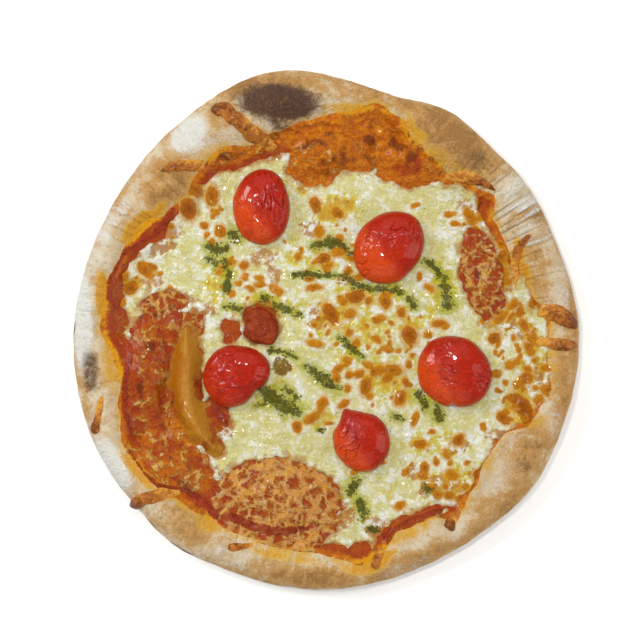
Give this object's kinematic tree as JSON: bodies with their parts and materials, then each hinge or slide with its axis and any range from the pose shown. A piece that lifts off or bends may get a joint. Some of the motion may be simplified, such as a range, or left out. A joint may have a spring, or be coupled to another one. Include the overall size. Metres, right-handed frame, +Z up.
{
  "type": "margherita pizza",
  "caption": "Small round baked pizza with a puffed rim, tomato sauce, melted mozzarella, halved cherry tomatoes and dabs of green pesto.",
  "frame": {"origin": "middle of the pizza's box, on the plane that it rests on", "axes": "+Z up out of the toppings, +Y towards the rim's largest scorched blister, +X to the right seen from above"},
  "size_m": [0.2538, 0.2606, 0.0208],
  "materials": {
    "baked_dough": "dry baked dough, floury, browned and scorched in places",
    "sauce": "moist cooked tomato sauce with orange oil",
    "melted_cheese": "melted mozzarella, oily, with browned blisters",
    "tomato_skin": "glossy, finely wrinkled skin",
    "cooked_tomato": "soft cooked tomato flesh",
    "browned_cheese": "browned, crisp cheese"
  },
  "bodies": {
    "root": {"crust": "baked_dough", "tomato_sauce": "sauce", "mozzarella": "melted_cheese", "tomato_lump": "cooked_tomato", "tomato_half_1": "tomato_skin", "tomato_half_2": "tomato_skin", "tomato_half_3": "tomato_skin", "tomato_half_4": "tomato_skin", "tomato_half_5": "tomato_skin", "browned_shred_1": "browned_cheese", "browned_shred_2": "browned_cheese", "browned_shred_3": "browned_cheese", "browned_shred_4": "browned_cheese", "browned_shred_5": "browned_cheese", "browned_shred_6": "browned_cheese", "browned_shred_7": "browned_cheese", "browned_shred_8": "browned_cheese", "browned_shred_9": "browned_cheese", "browned_shred_10": "browned_cheese", "browned_shred_11": "browned_cheese"}
  },
  "joints": []
}
